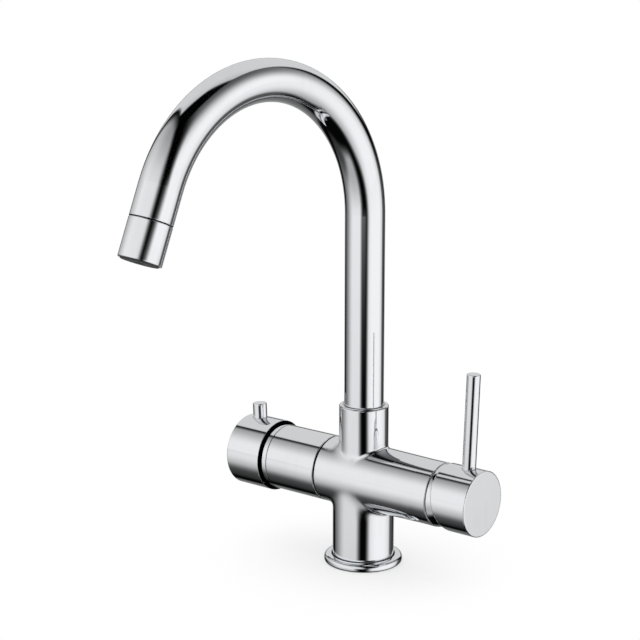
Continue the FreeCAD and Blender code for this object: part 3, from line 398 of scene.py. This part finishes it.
def gapShadeGroup():
    soft = armGapShade["soft"]
    group, given, out = newGroup("armGapShade", {"axisHeight": armGapShade["axisHeight"]}, ("inside",))
    place = separated(group, objectPlace(group))
    above = maths(group, "SUBTRACT", place["Z"], given["axisHeight"])
    upSquare = maths(group, "MULTIPLY", above, above)
    sideSquare = maths(group, "MULTIPLY", place["Y"], place["Y"])
    away = maths(group, "SQRT", maths(group, "ADD", upSquare, sideSquare))
    inside = 0.0
    for left, right, radius in armGapShade["bands"].values():
        near = ramped(group, away, radius, radius + soft, 1.0, 0.0)
        begun = ramped(group, place["X"], left, left + soft)
        ended = ramped(group, place["X"], right - soft, right, 1.0, 0.0)
        band = maths(group, "MULTIPLY", near, maths(group, "MULTIPLY", begun, ended))
        inside = maths(group, "MAXIMUM", band, inside)
    feed(group, out, "inside", inside)
    return group


shadeInJoints = jointShadeGroup()
gapShades = gapShadeGroup()
smears = smearGroup()
latheRings = latheGroup()
grain = grainGroup()


def newMaterial(name):
    material = bpy.data.materials.new(name)
    material.use_nodes = True
    return material, material.node_tree, material.node_tree.nodes["Principled BSDF"]


def bumped(tree, shader, height, strength, distance, edges=None):
    bump = newNode(tree, "ShaderNodeBump")
    if edges is not None:
        feed(tree, bump, "Normal", edges)
    feed(tree, bump, "Strength", strength)
    feed(tree, bump, "Distance", distance)
    feed(tree, bump, "Height", height)
    feed(tree, shader, "Normal", bump.outputs[0])


# How much painted shade a place gets, down in a joint or in one of the arm's gaps
def paintedShade(tree, look):
    shade = placed(tree, shadeInJoints, reach=look["jointReach"], full=look["jointFull"])
    return maths(tree, "MAXIMUM", shade["depth"], placed(tree, gapShades)["inside"])


# Polished chrome plate
plating = {
    "clean": (0.925, 0.94, 0.965, 1),
    "marked": (0.885, 0.90, 0.92, 1),
    "cleanRoughness": 0.02,
    "markedRoughness": 0.09,
    "ripple": 0.02,
    "rippleDepth": 0.0004,
    # near black colour of the painted shade in joints and in the arm's gaps
    "joint": (0.012, 0.012, 0.013, 1),
    "jointReach": 0.002,
    "jointFull": 0.7,
    "jointRoughness": 0.75,
    "softEdge": 0.0009,
    "edgeSamples": 6,
}

# Where column, arm and collar cross, the cast surfaces melt together at the left of the front
crossing = {
    "middle": (0, 0, 0.0636),
    "within": 0.03,
    "beyond": 0.037,
    "side": (1, 0, 0.25),
    "leftOf": 0.007,
    "rightOf": 0.015,
    "softness": 0.008,
}


# Radius of the soft edges, larger at the crossing
def edgeRadius(tree):
    place = vectors(tree, "SUBTRACT", objectPlace(tree), crossing["middle"])
    away = vectors(tree, "LENGTH", place, output="Value")
    across = vectors(tree, "DOT_PRODUCT", place, crossing["side"], "Value")
    near = ramped(tree, away, crossing["within"], crossing["beyond"], 1.0, 0.0)
    left = ramped(tree, across, crossing["leftOf"], crossing["rightOf"], 1.0, 0.0)
    return mixed(tree, maths(tree, "MULTIPLY", near, left), plating["softEdge"], crossing["softness"])


def chromeMaterial():
    look = plating
    material, tree, shader = newMaterial("polished_chrome")
    feed(tree, shader, "Metallic", 1.0)
    smeared = placed(tree, smears)
    marks = smeared["marks"]
    dark = paintedShade(tree, look)
    colour = mixed(tree, marks, look["clean"], look["marked"], "RGBA")
    # painted shade: the colour goes near black down in joints and in the arm's gaps, where shade falls
    feed(tree, shader, "Base Color", mixed(tree, dark, colour, look["joint"], "RGBA"))
    roughness = mixed(tree, marks, look["cleanRoughness"], look["markedRoughness"])
    feed(tree, shader, "Roughness", mixed(tree, dark, roughness, look["jointRoughness"]))
    # the plate rounds every sharp edge a little, which catches a bright line
    soft = newNode(tree, "ShaderNodeBevel", samples=look["edgeSamples"])
    feed(tree, soft, "Radius", edgeRadius(tree))
    bumped(tree, shader, smeared["ripple"], look["ripple"], look["rippleDepth"], soft.outputs[0])
    return material


# Bare turned metals
turning = {
    "spread": 0.6,
    # near black colour of the painted shade deep in joints, which blackens the brass inside the knob
    "joint": (0.012, 0.011, 0.01, 1),
    "jointReach": 0.014,
    "jointFull": 0.4,
    "jointRoughness": 0.75,
    "valleyRoughness": 1.25,  # times the metal's own
    "crestRoughness": 0.8,
    "bump": 0.25,
    "bumpDepth": 0.00004,
}
turnedMetals = {
    "turned_brass": {
        "light": (0.80, 0.58, 0.27, 1),
        "dark": (0.66, 0.45, 0.19, 1),
        "roughness": 0.26,
        "pitch": 1400.0,
    },
    "stainless_steel": {
        "light": (0.62, 0.61, 0.59, 1),
        "dark": (0.52, 0.51, 0.50, 1),
        "roughness": 0.22,
        "pitch": 2200.0,
    },
}


def turnedMaterial(name, metal):
    look = turning
    material, tree, shader = newMaterial(name)
    feed(tree, shader, "Metallic", 1.0)
    cut = placed(tree, latheRings, pitch=metal["pitch"], spread=look["spread"])
    dark = paintedShade(tree, look)
    colour = mixed(tree, cut["tint"], metal["light"], metal["dark"], "RGBA")
    # painted shade: the colour goes near black down in joints and in the arm's gaps, where shade falls
    feed(tree, shader, "Base Color", mixed(tree, dark, colour, look["joint"], "RGBA"))
    valley = metal["roughness"] * look["valleyRoughness"]
    crest = metal["roughness"] * look["crestRoughness"]
    polish = mixed(tree, cut["rings"], valley, crest)
    feed(tree, shader, "Roughness", mixed(tree, dark, polish, look["jointRoughness"]))
    bumped(tree, shader, cut["rings"], look["bump"], look["bumpDepth"])
    return material


# Moulded, fired and cured materials
moulding = {
    "smoother": 0.85,  # times the material's own roughness
    "rougher": 1.15,
    "bumpDepth": 0.00005,
}
mouldedMaterials = {
    "black_rubber": {
        "light": (0.022, 0.022, 0.023, 1),
        "dark": (0.035, 0.034, 0.034, 1),
        "roughness": 0.62,
        "bump": 0.5,
    },
    "white_ceramic": {
        "light": (0.86, 0.85, 0.82, 1),
        "dark": (0.80, 0.79, 0.76, 1),
        "roughness": 0.16,
        "bump": 0.12,
        "grainScale": 2600.0,
    },
    "white_acetal": {
        "light": (0.82, 0.82, 0.80, 1),
        "dark": (0.76, 0.76, 0.73, 1),
        "roughness": 0.38,
        "bump": 0.25,
    },
    "grey_plastic": {
        "light": (0.17, 0.175, 0.18, 1),
        "dark": (0.14, 0.145, 0.15, 1),
        "roughness": 0.42,
        "bump": 0.35,
    },
    "clear_white_tube": {
        "light": (0.80, 0.82, 0.82, 1),
        "dark": (0.72, 0.74, 0.75, 1),
        "roughness": 0.3,
        "bump": 0.15,
        "transmission": 0.35,
    },
    "outlet_plastic": {
        "light": (0.035, 0.036, 0.039, 1),
        "dark": (0.025, 0.026, 0.029, 1),
        "roughness": 0.36,
        "bump": 0.3,
    },
    "plug_plastic": {
        "light": (0.30, 0.31, 0.32, 1),
        "dark": (0.25, 0.26, 0.27, 1),
        "roughness": 0.4,
        "bump": 0.35,
    },
}


def mouldedMaterial(name, stuff):
    look = moulding
    material, tree, shader = newMaterial(name)
    feed(tree, shader, "Transmission Weight", stuff.get("transmission", 0.0))
    surface = placed(tree, grain, grainScale=stuff.get("grainScale", 1500.0))
    feed(tree, shader, "Base Color", mixed(tree, surface["mottle"], stuff["light"], stuff["dark"], "RGBA"))
    smoother = stuff["roughness"] * look["smoother"]
    rougher = stuff["roughness"] * look["rougher"]
    feed(tree, shader, "Roughness", mixed(tree, surface["grain"], smoother, rougher))
    bumped(tree, shader, surface["grain"], stuff["bump"], look["bumpDepth"])
    return material


finishes = {"polished_chrome": chromeMaterial()}
for name, metal in turnedMetals.items():
    finishes[name] = turnedMaterial(name, metal)
for name, stuff in mouldedMaterials.items():
    finishes[name] = mouldedMaterial(name, stuff)
for part in frame["record"]["subparts"]:
    node = frame["nodes"][part["node"]]
    node.data.materials.clear()
    node.data.materials.append(finishes[part["material_slot"]])
print("finishes done")


# Foot ring, a round bead about the column as polished, with the gasket's groove underneath
footRing = {
    "bore": 0.0221,
    "radius": 0.0281,
    "top": 0.0058,
    "innerRound": 0.0015,
    "shoulder": 0.0029,
    "foot": 0.002,
    "grooveInner": 0.02315,
    "grooveOuter": 0.02565,
    "grooveTop": 0.0016,
    "roundSteps": 10,
    "turnSteps": 180,
    "sharpAngle": 30,
}


def footRingPiece():
    form = footRing
    outline = [
        (form["bore"], 0),
        (form["bore"], form["top"]),
        (form["radius"], form["top"]),
        (form["radius"], 0),
        (form["grooveOuter"], 0),
        (form["grooveOuter"], form["grooveTop"]),
        (form["grooveInner"], form["grooveTop"]),
        (form["grooveInner"], 0),
    ]
    shape = bmesh.new()
    corners = [shape.verts.new((across, 0, high)) for across, high in outline]
    for first, second in zip(corners, corners[1:] + corners[:1]):
        shape.edges.new((first, second))
    rounds = ((corners[1], form["innerRound"]), (corners[2], form["shoulder"]), (corners[3], form["foot"]))
    for corner, size in rounds:
        bmesh.ops.bevel(shape, geom=[corner], offset=size, offset_type="OFFSET", affect="VERTICES",
                        segments=form["roundSteps"], profile=0.5, material=-1)
    bmesh.ops.spin(shape, geom=shape.verts[:] + shape.edges[:], cent=(0, 0, 0), axis=(0, 0, 1),
                   dvec=(0, 0, 0), angle=math.tau, steps=form["turnSteps"], use_merge=True)
    bmesh.ops.recalc_face_normals(shape, faces=shape.faces)
    mesh = bpy.data.meshes.new("footRing")
    shape.to_mesh(mesh)
    shape.free()
    mesh.materials.append(finishes["polished_chrome"])
    mesh.shade_smooth()
    mesh.set_sharp_from_angle(angle=math.radians(form["sharpAngle"]))
    piece = bpy.data.objects.new("footRing", mesh)
    scene.collection.objects.link(piece)
    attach(piece, "fixed_body")
    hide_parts("base_ring")


footRingPiece()
print("foot ring done")


# Pale floor: it keeps the tap's shadow, and melts into the background further out
floor = {
    "radius": 0.9,
    "segments": 96,
    "fadeFrom": 0.03,
    "fadeTo": 0.13,
    "shadowShare": 0.42,
    "colour": (0.95, 0.95, 0.95, 1),
    "mottled": (0.94, 0.94, 0.94, 1),
    "mottleScale": 8.0,
    "mottleDetail": 2.0,
    "roughness": 0.6,
}


def floorMaterial():
    material, tree, shader = newMaterial("pale_floor")
    place = objectPlace(tree)
    distance = vectors(tree, "LENGTH", place, output="Value")
    away = ramped(tree, distance, floor["fadeFrom"], floor["fadeTo"], 1.0, 0.0)
    tone = noise(tree, floor["mottleScale"], floor["mottleDetail"], place)
    feed(tree, shader, "Base Color", mixed(tree, tone, floor["colour"], floor["mottled"], "RGBA"))
    feed(tree, shader, "Roughness", floor["roughness"])
    feed(tree, shader, "Specular IOR Level", 0.0)
    lit = shader.outputs[0]
    white = newNode(tree, "ShaderNodeEmission")
    feed(tree, white, "Color", studio["white"])
    # the floor as it is lit shows its shadow near the tap, and pure white takes over outwards
    shown = mixedShaders(tree, maths(tree, "MULTIPLY", away, floor["shadowShare"]), white.outputs[0], lit)
    rays = newNode(tree, "ShaderNodeLightPath").outputs
    forCamera = mixedShaders(tree, rays["Is Camera Ray"], lit, shown)
    # it is clear from below, and the metal reflects the studio through it
    underside = newNode(tree, "ShaderNodeNewGeometry").outputs["Backfacing"]
    clear = newNode(tree, "ShaderNodeBsdfTransparent").outputs[0]
    hidden = mixedShaders(tree, maths(tree, "MAXIMUM", rays["Is Glossy Ray"], underside), forCamera, clear)
    feed(tree, tree.nodes["Material Output"], "Surface", hidden)
    return material


def floorDisc():
    shape = bmesh.new()
    bmesh.ops.create_circle(shape, cap_ends=True, radius=floor["radius"], segments=floor["segments"])
    mesh = bpy.data.meshes.new("floor")
    shape.to_mesh(mesh)
    shape.free()
    mesh.materials.append(floorMaterial())
    disc = bpy.data.objects.new("floor", mesh)
    scene.collection.objects.link(disc)


floorDisc()
print("floor done")
